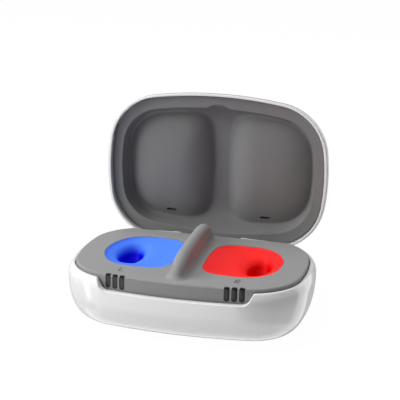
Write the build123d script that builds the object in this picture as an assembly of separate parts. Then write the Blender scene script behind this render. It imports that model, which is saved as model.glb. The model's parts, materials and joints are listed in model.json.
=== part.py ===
from build123d import *
from math import cos, hypot, pi, sin, sqrt
import os

# Charging case for a pair of hearing aids, lid open at 90 degrees.
# Millimetres. X to the right, Y to the hinge, Z up. The origin is the centre of the foot pad's
# underside. Pieces of the lid are drawn on the closed case and turned open at the end.

# Plan outline of the line where the lid meets the base
case_width = 100.0
case_depth = 70.3
front_radius = 188.0
side_radius = 94.0
corner_radius = 23.5

# Base shell
rim_height = 25.6
foot_proud = 0.3
rim_offset = 1.2
belly_offset = 2.95
belly_drop = 4.4
foot_inset_x = 11.0
foot_inset_y = 16.5
shoulder_power = 2.5
base_wall = 2.0
floor_thickness = 2.4
straight_drop = 9.0

# Front notch of the base shell
notch_half_top = 33.0
notch_half_bottom = 30.4
notch_depth = 4.8
notch_corner = 3.8

# Lid shell
lid_height = 18.5
lid_gap = 0.3
lid_belly_side = 1.9
lid_belly_face = 1.3
lid_belly_rise = 1.5
lid_inset_x = 14.0
lid_inset_y = 20.0
dome_power = 1.95
lid_wall = 1.8
lip_inner_offset = 0.15
open_angle = 90.7

# Deck of the base
deck_rise = 1.5
deck_plate = 2.0
deck_gap = 0.3
deck_skirt = 1.5
skirt_drop = 8.5
deck_edge = 0.8
deck_rear_inset = 5.0
ledge_drop = 0.7
ledge_half = 36.0

# Divider fin: points of its crest as (share of its length, height over the deck)
fin_crest = [(0.019, 3.4), (0.061, 6.4), (0.129, 8.2), (0.266, 9.2), (0.47, 9.7)]
fin_crest += [(0.657, 9.8), (0.776, 9.6), (0.853, 8.7), (0.912, 7.0), (0.957, 4.7), (0.985, 2.2)]
fin_front_inset = 4.55
fin_rear_inset = 7.0
fin_front_lean = 0.31
fin_rear_lean = 0.45
fin_thickness = 5.2
fin_round = 2.4
fin_foot = 3.0
fin_end_flare = 0.5

# Wells: openings in the deck and the coloured inserts in them
well_x = 21.6
well_y = 0.15
well_half_depth = 19.9
well_outer = (17.7, 34.0, 26.0, 13.8)
well_inner = (15.4, 60.0, 120.0, 8.7)
insert_gap = 0.25
insert_drop = 0.1
insert_wall = 1.2
insert_land = 0.3
flange_width = 1.8
flange_thickness = 1.2
dip_x = 29.0
dip_y = 2.2
dip_mouth = (5.1, 10.8)
dip_side_ratio = 1.6
dip_corner_ratio = 0.8

# Rows of a well's hollow: depth under its edge, share of the way from the opening's outline to the
# dip's oval, and the oval's half width and half depth
well_rows = [(0.0, 0.02, *dip_mouth), (0.4, 0.1, *dip_mouth), (0.8, 0.24, *dip_mouth)]
well_rows += [(1.2, 0.42, *dip_mouth), (1.6, 0.6, *dip_mouth), (2.1, 0.76, *dip_mouth)]
well_rows += [(2.9, 0.89, *dip_mouth), (4.1, 0.97, 5.1, 10.4), (5.6, 1.0, 5.0, 9.6)]
well_rows += [(7.6, 1.0, 4.8, 8.3), (9.6, 1.0, 4.5, 6.7), (11.6, 1.0, 3.8, 4.9), (13.0, 1.0, 2.7, 3.2)]

# Light windows on the front edge
light_x = 25.2
light_pitch = 3.1
light_width = 2.3
light_drop = 4.35
light_reach = 1.8
light_recess = 0.15
light_clearance = 0.05

# Hinge; the insets are from the case's rear
hinge_inset = 1.55
hinge_drop = 4.7
barrel_radius = 4.4
barrel_half = 14.2
barrel_clearance = 0.3
pin_radius = 0.75
pin_fit = 0.02
pin_running = 0.05
pin_sink = 0.3
lug_width = 3.2
lug_inset = 4.65
lug_top_depth = 1.8
lug_drop = 0.45
bush_radius = 1.6
bush_length = 5.0
web_inset = 1.45
tab_length = 3.2
tab_thickness = 1.6
tab_head_radius = 1.1
tab_head_height = 0.7
tab_screw_inset = 2.0
tab_screw_end = 0.4
rim_relief = 0.1

# Lid liner
band_rise = 3.17
band_side = 4.5
band_front = 5.7
band_thickness = 1.6
liner_gap = 0.3
liner_skin = 1.2
recess_top = 14.6
bump_radius = 6.2
bump_reach = 1.7
bump_rise = 7.0
pillow_x = 22.0
pillow_y = -0.6
pillow_half_depth = 30.5
pillow_outer = (27.0, 70.0, 60.0, 20.0)
pillow_inner = (18.4, 70.0, 130.0, 12.5)
pillow_crown = 5.6
pillow_power = 2.8
pillow_skin = 1.3
vent_x = 22.6
vent_y = 21.9
vent_length = 5.0
vent_width = 1.1

# Inner frame, board, cell and coils
frame_top = 10.2
frame_thickness = 1.6
frame_gap = 0.5
boss_radius = 2.6
frame_boss_x = 43.7
frame_boss_y = 11.5
case_screw_x = 26.0
case_screw_y = 10.0
case_screw_radius = 1.0
case_head_radius = 1.9
case_head_height = 0.9
frame_screw_radius = 0.8
frame_head_radius = 1.5
frame_head_height = 0.9
screw_fit = 0.04
screw_end = 0.5
thread_depth = 7.0
head_clearance = 0.2
cell_width = 28.0
cell_depth = 26.0
cell_height = 7.0
cell_y = -17.0
cell_corner = 1.5
tape_thickness = 0.5
tape_inset = 2.0
board_half_width = 16.5
board_front_y = -2.0
board_rear_inset = 5.15
board_thickness = 1.2
board_standoff = 1.2
standoff_radius = 1.5
ferrite_radius = 10.4
ferrite_thickness = 1.0
coil_inner_radius = 7.9
coil_radius = 10.2
coil_height = 2.2

# Board parts as (x, y, width, depth, height)
board_spots = [(-6.0, 8.0, 5.0, 5.0, 0.9), (7.0, 6.5, 4.0, 4.0, 0.8), (8.0, 16.0, 3.0, 3.0, 1.2)]
board_spots += [(-8.5, 18.0, 6.0, 3.2, 1.9), (0.0, 2.0, 7.5, 2.6, 2.4)]

# Inlet
inlet_width = 8.95
inlet_height = 3.2
inlet_length = 7.35
inlet_shell = 0.3
inlet_sink = 0.4
inlet_clearance = 0.2
inlet_floor = 1.0
tongue_half = 3.3
tongue_thickness = 0.7
tongue_sink = 0.8

# Light boards
light_board_width = 11.5
light_board_height = 5.6
light_board_thickness = 0.8
diode_width = 1.6
diode_height = 0.9
diode_thickness = 0.5
diode_gap = 0.1

# Magnets and foot pad
magnet_x = 18.0
magnet_radius = 1.4
magnet_height = 1.8
base_magnet_inset = 4.4
lid_magnet_inset = 3.5
pad_thickness = 1.0
pad_reach = 3.2
pad_clearance = 0.1
head_sink = 0.2

# Levels and places worked out from the sizes above
rim_z = rim_height
deck_top = rim_z + deck_rise
plate_bottom = deck_top - deck_plate
floor_top = foot_proud + floor_thickness
rear_y = case_depth / 2
hinge_y = rear_y - hinge_inset
hinge_z = rim_z - hinge_drop
lug_front_y = rear_y - lug_inset
web_front_y = rear_y - web_inset
deck_rear_y = rear_y - deck_rear_inset
board_rear_y = rear_y - board_rear_inset
fin_front_y = fin_front_inset - rear_y
fin_rear_y = rear_y - fin_rear_inset
pad_top = pad_thickness
band_z = rim_z + band_rise
band_back_z = band_z + band_thickness
frame_bottom = frame_top - frame_thickness
board_bottom = frame_top + board_standoff
board_top = board_bottom + board_thickness
lug_inner_x = barrel_half + barrel_clearance
lug_outer_x = lug_inner_x + lug_width
tab_screw_y = web_front_y - tab_screw_inset
cut = 60.0


def corner_centre(half_w, half_d, face_r, side_r, corner_r):
    """Centre of the arc that joins the front arc to the right side arc from inside."""
    fx, fy = 0.0, face_r - half_d
    sx, sy = half_w - side_r, 0.0
    a, b = face_r - corner_r, side_r - corner_r
    gap = hypot(sx - fx, sy - fy)
    ux, uy = (sx - fx) / gap, (sy - fy) / gap
    along = (gap * gap + a * a - b * b) / (2 * gap)
    off = sqrt(a * a - along * along)
    return fx + ux * along - uy * off, fy + uy * along + ux * off


def towards(start, through, length):
    """The point at a length from start, on the line through another point."""
    dx, dy = through[0] - start[0], through[1] - start[1]
    size = hypot(dx, dy)
    return start[0] + dx / size * length, start[1] + dy / size * length


def half_outline(half_w, half_d, face_r, side_r, corner_r):
    """Points of the right half of an oval, front to rear: start, middle and end of each arc."""
    centre = corner_centre(half_w, half_d, face_r, side_r, corner_r)
    face, side = (0.0, face_r - half_d), (half_w - side_r, 0.0)
    front_end = towards(face, centre, face_r)
    side_start = towards(side, centre, side_r)
    middle = ((front_end[0] + side_start[0]) / 2, (front_end[1] + side_start[1]) / 2)
    front_middle = towards(face, (front_end[0] / 2, front_end[1] / 2 - half_d / 2), face_r)
    quarter = [(0.0, -half_d), front_middle, front_end, towards(centre, middle, corner_r), side_start]
    mirrored = [(x, -y) for x, y in reversed(quarter)]
    return quarter + [(half_w, 0.0)] + mirrored


def oval(z, right, left=None, centre=(0.0, 0.0), flip=1):
    """Closed wire of ten arcs: each half is (half width, half depth, face, side and corner radius)."""
    rows = [[(x * flip, y) for x, y in half_outline(*right)]]
    rows.append([(-x * flip, -y) for x, y in half_outline(*(left or right))])
    edges = []
    for row in rows:
        spots = [(x + centre[0] * flip, y + centre[1], z) for x, y in row]
        for i in range(0, len(spots) - 1, 2):
            edges.append(ThreePointArc(spots[i], spots[i + 1], spots[i + 2]))
    return Wire(edges)


def grown(half, dx, dy):
    """An oval half set outwards by dx at the sides and dy at the front and rear."""
    mean = (dx + dy) / 2
    return (half[0] + dx, half[1] + dy, half[2] + mean, half[3] + mean, half[4] + mean)


case_half = (case_width / 2, case_depth / 2, front_radius, side_radius, corner_radius)


def case_wire(z, dx, dy=None):
    return oval(z, grown(case_half, dx, dx if dy is None else dy))


def slab(low, high, offset):
    """Prism of the case outline at an offset, between two levels."""
    return extrude(make_face(case_wire(low, offset)), high - low, dir=(0, 0, 1))


def skin(rows):
    """Smooth solid through case outlines, each row being (z, side offset, front offset)."""
    return loft([make_face(case_wire(*row)) for row in rows])


def block(x0, x1, y0, y1, z0, z1):
    return Pos((x0 + x1) / 2, (y0 + y1) / 2, (z0 + z1) / 2) * Box(x1 - x0, y1 - y0, z1 - z0)


def post(x, y, z0, z1, radius):
    return Pos(x, y, (z0 + z1) / 2) * Cylinder(radius, z1 - z0)


def along_x(x0, x1, radius):
    """Cylinder on the hinge axis."""
    return Pos((x0 + x1) / 2, hinge_y, hinge_z) * Rot(0, 90, 0) * Cylinder(radius, x1 - x0)


def front_y(x, offset):
    """Y of the case's front arc at a place across, for an outline offset."""
    return front_radius - case_depth / 2 - sqrt((front_radius + offset) ** 2 - x * x)


def base_offset(drop, inset):
    """Outline offset of the base's outside at a drop below the rim."""
    if drop < belly_drop:
        return belly_offset - (belly_offset - rim_offset) * (1 - drop / belly_drop) ** 2
    share = (drop - belly_drop) / (rim_height - foot_proud - belly_drop)
    return -inset + (belly_offset + inset) * (1 - share**shoulder_power) ** (1 / shoulder_power)


def lid_offset(rise, belly, inset):
    """Outline offset of the lid's outside at a rise over the rim."""
    if rise < lid_belly_rise:
        return belly - (belly - rim_offset) * (1 - rise / lid_belly_rise) ** 2
    share = (rise - lid_belly_rise) / (lid_height - lid_belly_rise)
    return -inset + (belly + inset) * (1 - share**dome_power) ** (1 / dome_power)


def lid_side(rise):
    return lid_offset(rise, lid_belly_side, lid_inset_x)


def lid_face(rise):
    return lid_offset(rise, lid_belly_face, lid_inset_y)


def shoulder_drops(start, end, power, count):
    """Levels that crowd towards the end, where the shoulder turns over."""
    return [start + (end - start) * sin(pi / 2 * i / count) ** (2 / power) for i in range(count + 1)]


def base_outside():
    rim_drops = [belly_drop * i / 4 for i in range(4)]
    drops = rim_drops + shoulder_drops(belly_drop, rim_height - foot_proud, shoulder_power, 9)
    return skin([(rim_z - d, base_offset(d, foot_inset_x), base_offset(d, foot_inset_y)) for d in drops])


def base_inside():
    top = slab(rim_z - straight_drop, rim_z + cut, 0.0)
    rows = []
    for d in shoulder_drops(straight_drop, rim_z - floor_top, shoulder_power, 6):
        side = min(0.0, base_offset(d, foot_inset_x) - base_wall)
        face = min(0.0, base_offset(d, foot_inset_y) - base_wall)
        rows.append((rim_z - d, side, face))
    return top + skin(rows)


def lid_outside():
    rises = [lid_gap, lid_belly_rise / 2]
    rises += shoulder_drops(lid_belly_rise, lid_height, dome_power, 9)
    return skin([(rim_z + r, lid_side(r), lid_face(r)) for r in rises])


def lid_inside():
    lip = slab(rim_z - cut, band_back_z, lip_inner_offset)
    rows = []
    for r in shoulder_drops(band_rise + band_thickness, lid_height - lid_wall, dome_power, 7):
        scale = lid_height / (lid_height - lid_wall)
        rows.append((rim_z + r, lid_side(r * scale) - lid_wall, lid_face(r * scale) - lid_wall))
    return lip + skin(rows)


def well_half(parts):
    return (parts[0], well_half_depth, parts[1], parts[2], parts[3])


def well_wire(z, dx, share, half_x, half_y, side):
    """Outline between the well's opening and its dip; share 0 is the opening and 1 the dip."""
    dip = (half_x, half_y, half_x, half_y * dip_side_ratio, half_x * dip_corner_ratio)
    halves = []
    for parts in (well_outer, well_inner):
        start = grown(well_half(parts), dx * (1 - share), dx * (1 - share))
        halves.append(tuple(a + (b - a) * share for a, b in zip(start, dip)))
    centre = (well_x + (dip_x - well_x) * share, well_y + (dip_y - well_y) * share)
    return oval(z, halves[0], halves[1], centre, side)


def well_solid(side, wall):
    """The hollow of a well, or with a wall the outside of its tub."""
    faces = []
    grow = wall - insert_gap - insert_land
    for drop, share, half_x, half_y in well_rows:
        level = deck_top - insert_drop - drop - wall
        faces.append(make_face(well_wire(level, grow, share, half_x + wall, half_y + wall, side)))
    return loft(faces)


def insert(side):
    """Coloured tub that drops away from its rim into an oval dip."""
    halves = (well_half(well_outer), well_half(well_inner))
    rim_half = [grown(half, -insert_gap, -insert_gap) for half in halves]
    flange_half = [grown(half, flange_width, flange_width) for half in halves]
    centre = (well_x, well_y)
    flange_low = plate_bottom - flange_thickness
    top = deck_top - insert_drop
    rim = extrude(make_face(oval(flange_low, *rim_half, centre, side)), top - flange_low, dir=(0, 0, 1))
    flange = make_face(oval(flange_low, *flange_half, centre, side))
    body = rim + extrude(flange, flange_thickness, dir=(0, 0, 1))
    body += well_solid(side, insert_wall) & block(-cut, cut, -cut, cut, 0, plate_bottom)
    mouth = make_face(well_wire(top, -insert_gap - insert_land, well_rows[0][1], *dip_mouth, side))
    return body - well_solid(side, 0.0) - extrude(mouth, insert_wall, dir=(0, 0, 1))


def base_shell():
    shell = base_outside() - base_inside()
    # hinge lugs that rise through the deck's rear ledge
    for side in (-1, 1):
        x0, x1 = sorted((side * lug_inner_x, side * lug_outer_x))
        shell += block(x0, x1, lug_front_y, rear_y, hinge_z - barrel_radius, rim_z)
        finger_rear = lug_front_y + lug_top_depth
        shell += block(x0, x1, lug_front_y, finger_rear, rim_z - 1.0, deck_top - lug_drop)
    notch = Polyline(
        (-notch_half_top, rim_z + 1),
        (-notch_half_top, rim_z),
        (-notch_half_bottom, rim_z - notch_depth),
        (notch_half_bottom, rim_z - notch_depth),
        (notch_half_top, rim_z),
        (notch_half_top, rim_z + 1),
        close=True,
    )
    window = fillet(make_face(notch).vertices().sort_by(Axis.Y)[:2], notch_corner)
    shell -= Pos(0, -case_depth / 4, 0) * (Rot(90, 0, 0) * extrude(window, cut))
    # rear opening for the hinge barrel and its web, and the rim eased where the lid's lip passes
    web_low = hinge_z - (rear_y + lid_belly_side - hinge_y) - barrel_clearance
    shell -= block(-lug_inner_x, lug_inner_x, hinge_y, cut, web_low, cut)
    shell -= along_x(-lug_inner_x, lug_inner_x, barrel_radius + barrel_clearance)
    swept = block(-case_half[0], case_half[0], hinge_y, cut, hinge_z + pin_radius, cut)
    shell -= swept - along_x(-case_half[0] - 1, case_half[0] + 1, hinge_drop + rim_relief)
    shell -= along_x(-lug_outer_x, lug_outer_x, pin_radius + pin_fit)
    shell -= slot_opening(inlet_clearance)
    shell -= pad_solid(pad_clearance, pad_top)
    for x, y in corners(case_screw_x, case_screw_y):
        seat = pad_top + head_sink + case_head_height
        shell -= post(x, y, pad_top - pad_clearance, seat, case_head_radius + head_clearance)
        shell -= post(x, y, pad_top, floor_top + head_clearance, case_screw_radius + head_clearance)
    return shell


def corners(x, y):
    return [(sx * x, sy * y) for sx in (-1, 1) for sy in (-1, 1)]


def pad_solid(clearance, height):
    grow = clearance + pad_reach
    wire = case_wire(0.0, grow - foot_inset_x, grow - foot_inset_y)
    return extrude(make_face(wire), height, dir=(0, 0, 1))


def deck_cap(offset, top, edge):
    """Plate of the deck with its straight rear edge and rounded top edge."""
    low = top - deck_plate
    cap = slab(low, top, offset) - block(-cut, cut, deck_rear_y, cut, low - 1, top + 1)
    return fillet(cap.edges().group_by(Axis.Z)[-1], edge)


def fin():
    """Divider with a round crest, on a foot that flares out into the deck."""
    start = (fin_front_y, -deck_plate / 2)
    end = (fin_rear_y, -deck_plate / 2)
    length = fin_rear_y - fin_front_y
    points = [(fin_front_y + share * length, height) for share, height in fin_crest]
    crest = Spline([(fin_front_y, 0.0)] + points + [(fin_rear_y, 0.0)])
    outline = [crest, Line((fin_rear_y, 0.0), end), Line(end, start), Line(start, (fin_front_y, 0.0))]
    blade = Pos(0, 0, deck_top) * extrude(Plane.YZ * make_face(outline), fin_thickness / 2, both=True)
    blade = fillet(blade.edges().filter_by(GeomType.BSPLINE), fin_round)
    rows = []
    for share in (0.0, 0.1, 0.3, 0.6, 1.0):
        rise = share * fin_foot
        flare = fin_foot - sqrt(fin_foot**2 - (fin_foot - rise) ** 2)
        front = fin_front_y + fin_front_lean * rise - fin_end_flare * flare
        rear = fin_rear_y - fin_rear_lean * rise + fin_end_flare * flare
        plan = RectangleRounded(fin_thickness + 2 * flare, rear - front, fin_round + flare)
        rows.append(Pos(0, (front + rear) / 2, deck_top + rise) * plan)
    return blade + loft(rows)


def light_slot(x, clearance):
    """L-shaped cutter of one light window: over the deck's edge and down its front."""
    half = light_width / 2 - clearance
    low = rim_z - light_drop + clearance
    rear = front_y(abs(x), -deck_gap) + light_reach - clearance
    front = -case_depth / 2 - 1
    inner = front_y(abs(x), -deck_gap) + deck_skirt
    down = block(x - half, x + half, front, inner, low + half, deck_top + 1)
    down += Pos(x, (front + inner) / 2, low + half) * Rot(90, 0, 0) * Cylinder(half, inner - front)
    over = block(x - half, x + half, front, rear - half, plate_bottom, deck_top + 1)
    over += post(x, rear - half, plate_bottom, deck_top + 1, half)
    return down + over


def light_places():
    return [(light_x + light_pitch * i) for i in (-1, 0, 1)]


def light_window(x):
    body = deck_cap(-deck_gap - light_recess, deck_top - light_recess, deck_edge)
    body += slab(rim_z - light_drop - 1, plate_bottom, -deck_gap - light_recess)
    inside = slab(rim_z - light_drop - 2, plate_bottom, -deck_gap - deck_skirt)
    return (body - inside) & light_slot(x, light_clearance)


def deck():
    skirt_low = rim_z - skirt_drop
    body = deck_cap(-deck_gap, deck_top, deck_edge)
    ring = slab(skirt_low, plate_bottom, -deck_gap)
    ring -= slab(skirt_low - 1, plate_bottom, -deck_gap - deck_skirt)
    ledge_z = rim_z - ledge_drop
    ring -= block(-cut, cut, deck_rear_y, cut, ledge_z, cut)
    ledge = slab(ledge_z - deck_plate, plate_bottom, -deck_gap)
    ledge &= block(-ledge_half, ledge_half, deck_rear_y - deck_skirt, cut, 0, plate_bottom)
    ledge -= block(-cut, cut, deck_rear_y, cut, ledge_z, cut)
    body += ring + ledge
    for side in (-1, 1):
        halves = [well_half(parts) for parts in (well_outer, well_inner)]
        opening = make_face(oval(plate_bottom - 1, *halves, (well_x, well_y), side))
        body -= extrude(opening, deck_plate + 2, dir=(0, 0, 1))
    body += fin()
    for x, y in corners(frame_boss_x, frame_boss_y):
        body += post(x, y, frame_top, plate_bottom, boss_radius)
        body -= post(x, y, frame_top, frame_top + thread_depth, frame_screw_radius + screw_fit)
    for side in (-1, 1):
        for x in light_places():
            body -= light_slot(side * x, 0.0)
        x0, x1 = sorted((side * (lug_inner_x - deck_gap), side * (lug_outer_x + deck_gap)))
        body -= block(x0, x1, lug_front_y - deck_gap, cut, 0, cut)
    hinge_space = lug_inner_x
    body -= block(-hinge_space, hinge_space, hinge_y, cut, 0, cut)
    body -= along_x(-hinge_space, hinge_space, barrel_radius + barrel_clearance)
    return body


def hinge_barrel():
    barrel = along_x(-barrel_half, barrel_half, barrel_radius)
    tab_top = band_back_z + tab_thickness
    web = block(-barrel_half, barrel_half, web_front_y, cut, hinge_z, tab_top)
    keep = lid_outside() + block(-cut, cut, 0, rear_y + rim_offset, 0, rim_z + lid_belly_rise)
    barrel += web & keep
    barrel += block(-barrel_half, barrel_half, web_front_y - tab_length, web_front_y, band_back_z, tab_top)
    barrel -= along_x(-barrel_half, barrel_half, pin_radius + pin_running)
    for side in (-1, 1):
        x0, x1 = sorted((side * (barrel_half - bush_length), side * (barrel_half + 1)))
        barrel -= along_x(x0, x1, bush_radius + pin_fit)
        barrel -= post(side * barrel_half / 2, tab_screw_y, 0, cut, frame_screw_radius + screw_fit)
    return barrel


def hinge_bush(side):
    x0, x1 = sorted((side * (barrel_half - bush_length), side * barrel_half))
    return along_x(x0, x1, bush_radius) - along_x(x0, x1, pin_radius + pin_running)


def hinge_screws():
    tab_top = band_back_z + tab_thickness
    both = []
    for side in (-1, 1):
        x = side * barrel_half / 2
        head = post(x, tab_screw_y, tab_top, tab_top + tab_head_height, tab_head_radius)
        both.append(head + post(x, tab_screw_y, band_z + tab_screw_end, tab_top, frame_screw_radius))
    return Compound(both)


def lid_shell():
    shell = lid_outside() - lid_inside()
    top = band_back_z + tab_thickness + deck_gap
    half = barrel_half + barrel_clearance
    return shell - block(-half, half, web_front_y - tab_length - deck_gap, cut, 0, top)


# Rows of the liner's recess: share of its depth, side inset, front inset
recess_rows = [(0.0, 0.0, 0.0), (0.15, 0.2, 0.3), (0.5, 1.0, 1.6), (0.75, 2.2, 3.6)]
recess_rows += [(0.9, 4.0, 6.2), (0.97, 6.2, 9.0), (1.0, 9.5, 12.5)]


def recess_skin(grow):
    rows = []
    for share, side, face in recess_rows:
        level = band_z + share * (recess_top - band_rise)
        side_offset = -liner_gap / 2 - band_side - side + grow
        rows.append((level + grow * share**4, side_offset, -liner_gap / 2 - band_front - face + grow))
    return skin(rows)


def scaled(half, factor):
    return tuple(value * factor for value in half)


def pillow(side, shrink):
    """Soft-edged bulge of the liner over one well; shrink makes its hollow back."""
    high = rim_z + recess_top + liner_gap
    low = rim_z + pillow_crown + shrink
    faces = []
    for i in range(8):
        turn = pi / 2 * i / 8
        factor = cos(turn) ** (2 / pillow_power)
        level = high + (low - high) * sin(turn) ** (2 / pillow_power)
        halves = []
        for parts in (pillow_outer, pillow_inner):
            half = (parts[0], pillow_half_depth, parts[1], parts[2], parts[3])
            halves.append(scaled(grown(half, -shrink, -shrink), factor))
        faces.append(make_face(oval(level, halves[0], halves[1], (pillow_x, pillow_y), side)))
    return loft(faces) + extrude(faces[0], lid_height - recess_top, dir=(0, 0, 1))


def lid_liner():
    outer = lip_inner_offset - liner_gap
    body = slab(band_z, band_back_z, outer)
    body += recess_skin(liner_skin) & block(-cut, cut, -cut, cut, band_z, cut)
    bump_y = -case_depth / 2 + liner_gap / 2 + band_front - bump_reach + bump_radius
    body += post(0, bump_y, band_z, rim_z + bump_rise + liner_skin, bump_radius + liner_skin)
    body -= recess_skin(0.0)
    body -= post(0, bump_y, band_z - 1, rim_z + bump_rise, bump_radius)
    within = recess_skin(liner_skin)
    for side in (-1, 1):
        body += pillow(side, 0.0) & within
    for side in (-1, 1):
        hollow = pillow(side, pillow_skin)
        body -= hollow
        x0, x1 = sorted((side * (vent_x - vent_length / 2), side * (vent_x + vent_length / 2)))
        low, high = vent_y - vent_width / 2, vent_y + vent_width / 2
        body -= block(x0, x1, low, high, band_z, rim_z + recess_top - pillow_skin)
        low = band_z + tab_screw_end - screw_fit
        body -= post(side * barrel_half / 2, tab_screw_y, low, cut, frame_screw_radius + screw_fit)
    half = barrel_half + barrel_clearance
    body -= block(-half, half, web_front_y - deck_gap, cut, 0, cut)
    return body


def inner_frame():
    drop = rim_z - frame_bottom
    dx = base_offset(drop, foot_inset_x) - base_wall - frame_gap
    dy = base_offset(drop, foot_inset_y) - base_wall - frame_gap
    plate = extrude(make_face(case_wire(frame_bottom, dx, dy)), frame_thickness, dir=(0, 0, 1))
    for x, y in corners(case_screw_x, case_screw_y):
        plate += post(x, y, floor_top, frame_bottom, boss_radius)
        plate -= post(x, y, floor_top, frame_bottom, case_screw_radius + screw_fit)
    for x, y in corners(frame_boss_x, frame_boss_y):
        plate -= post(x, y, 0, cut, frame_screw_radius + head_clearance)
    for x, y in board_posts():
        plate += post(x, y, frame_top, board_bottom, standoff_radius)
    half = inlet_width / 2 + deck_gap
    return plate - block(-half, half, inlet_mouth_y() - inlet_length - deck_gap, cut, 0, cut)


def board_posts():
    x = board_half_width - standoff_radius
    rows = (board_front_y + 2 * standoff_radius, board_rear_y - 2 * standoff_radius)
    return [(sx * x, y) for sx in (-1, 1) for y in rows]


def main_board():
    return block(-board_half_width, board_half_width, board_front_y, board_rear_y, board_bottom, board_top)


def inlet_z():
    return board_bottom - inlet_height / 2


def inlet_mouth_y():
    return case_depth / 2 + base_offset(rim_z - inlet_z(), foot_inset_y) - inlet_sink


def rounded_bar(width, height, y0, y1):
    """Bar along Y with half-round sides, as wide as it is given."""
    flat = (width - height) / 2
    bar = block(-flat, flat, y0, y1, inlet_z() - height / 2, inlet_z() + height / 2)
    for x in (-flat, flat):
        bar += Pos(x, (y0 + y1) / 2, inlet_z()) * Rot(90, 0, 0) * Cylinder(height / 2, y1 - y0)
    return bar


def slot_opening(clearance):
    grow = 2 * clearance
    return rounded_bar(inlet_width + grow, inlet_height + grow, inlet_mouth_y() - inlet_length, cut)


def usb_inlet():
    mouth = inlet_mouth_y()
    rear = mouth - inlet_length
    shell = rounded_bar(inlet_width, inlet_height, rear, mouth)
    inside = 2 * inlet_shell
    shell -= rounded_bar(inlet_width - inside, inlet_height - inside, rear + inlet_floor, mouth + 1)
    low, high = inlet_z() - tongue_thickness / 2, inlet_z() + tongue_thickness / 2
    return shell + block(-tongue_half, tongue_half, rear, mouth - tongue_sink, low, high)


def battery_tape():
    half_x, half_y = cell_width / 2 - tape_inset, cell_depth / 2 - tape_inset
    top = frame_top + tape_thickness
    return block(-half_x, half_x, cell_y - half_y, cell_y + half_y, frame_top, top)


def battery_cell():
    half_x, half_y = cell_width / 2, cell_depth / 2
    low = frame_top + tape_thickness
    body = block(-half_x, half_x, cell_y - half_y, cell_y + half_y, low, low + cell_height)
    return fillet(body.edges().filter_by(Axis.Y), cell_corner)


def board_parts():
    """Main chips and connectors on the board."""
    chips = []
    for x, y, width, depth, height in board_spots:
        half_x, half_y = width / 2, depth / 2
        chips.append(block(x - half_x, x + half_x, y - half_y, y + half_y, board_top, board_top + height))
    return Compound(chips)


def ferrite(side):
    return post(side * dip_x, dip_y, frame_top, frame_top + ferrite_thickness, ferrite_radius)


def coil(side):
    low = frame_top + ferrite_thickness
    ring = post(side * dip_x, dip_y, low, low + coil_height, coil_radius)
    return ring - post(side * dip_x, dip_y, low - 1, low + coil_height + 1, coil_inner_radius)


def at_front(side, depth):
    """Place behind the deck skirt's inner face beside the windows, turned along the front arc."""
    y = front_y(light_x, -deck_gap - deck_skirt)
    turn = side * light_x / front_radius * 180 / pi
    return Pos(side * light_x, y, 0) * Rot(0, 0, turn) * Pos(0, depth, 0)


def light_board(side):
    depth = diode_thickness + diode_gap + light_board_thickness / 2
    board = Box(light_board_width, light_board_thickness, light_board_height)
    return at_front(side, depth) * Pos(0, 0, plate_bottom - light_board_height / 2) * board


def diodes(side):
    depth = diode_gap + diode_thickness / 2
    level = plate_bottom - light_board_height / 2
    chips = []
    for i in (-1, 0, 1):
        place = at_front(side, depth) * Pos(i * light_pitch, 0, level)
        chips.append(place * Box(diode_width, diode_thickness, diode_height))
    return Compound(chips)


def magnet_pair(inset, low):
    y = front_y(magnet_x, -inset)
    return Compound([post(side * magnet_x, y, low, low + magnet_height, magnet_radius) for side in (-1, 1)])


def case_screws():
    all_four = []
    for x, y in corners(case_screw_x, case_screw_y):
        low = pad_top + head_sink
        head = post(x, y, low, low + case_head_height, case_head_radius)
        all_four.append(head + post(x, y, low, frame_bottom - screw_end, case_screw_radius))
    return Compound(all_four)


def frame_screws():
    all_four = []
    for x, y in corners(frame_boss_x, frame_boss_y):
        head = post(x, y, frame_bottom - frame_head_height, frame_bottom, frame_head_radius)
        tip = frame_top + thread_depth - screw_end
        all_four.append(head + post(x, y, frame_bottom, tip, frame_screw_radius))
    return Compound(all_four)


def opened(shape):
    """Turns a piece of the closed lid about the hinge axis to the open rest pose."""
    return Pos(0, hinge_y, hinge_z) * Rot(-open_angle, 0, 0) * Pos(0, -hinge_y, -hinge_z) * shape


pieces = {
    "base_shell": base_shell(),
    "foot_pad": pad_solid(0.0, pad_top),
    "case_screws": case_screws(),
    "inner_frame": inner_frame(),
    "frame_screws": frame_screws(),
    "deck": deck(),
    "main_board": main_board(),
    "board_parts": board_parts(),
    "battery_cell": battery_cell(),
    "battery_tape": battery_tape(),
    "usb_inlet": usb_inlet(),
    "base_magnets": magnet_pair(base_magnet_inset, plate_bottom - magnet_height),
    "hinge_pin": along_x(-lug_outer_x + pin_sink, lug_outer_x - pin_sink, pin_radius),
    "lid_shell": opened(lid_shell()),
    "lid_liner": opened(lid_liner()),
    "hinge_barrel": opened(hinge_barrel()),
    "hinge_screws": opened(hinge_screws()),
    "lid_magnets": opened(magnet_pair(lid_magnet_inset, band_back_z)),
}
for name, side in (("left", -1), ("right", 1)):
    pieces[name + "_insert"] = insert(side)
    pieces[name + "_coil"] = coil(side)
    pieces[name + "_ferrite"] = ferrite(side)
    pieces[name + "_light_board"] = light_board(side)
    pieces[name + "_diodes"] = diodes(side)
    pieces[name + "_hinge_bush"] = opened(hinge_bush(side))
    for number, x in enumerate(light_places(), 1):
        pieces[name + "_light_" + str(number)] = light_window(side * x)

os.makedirs("parts", exist_ok=True)
for name, shape in pieces.items():
    export_step(shape, "parts/" + name + ".step")
    print(name, len(shape.solids()), round(shape.volume, 1))
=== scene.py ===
import bpy
import bmesh
import bisect
import json
import math
from mathutils import Matrix, Vector


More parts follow.
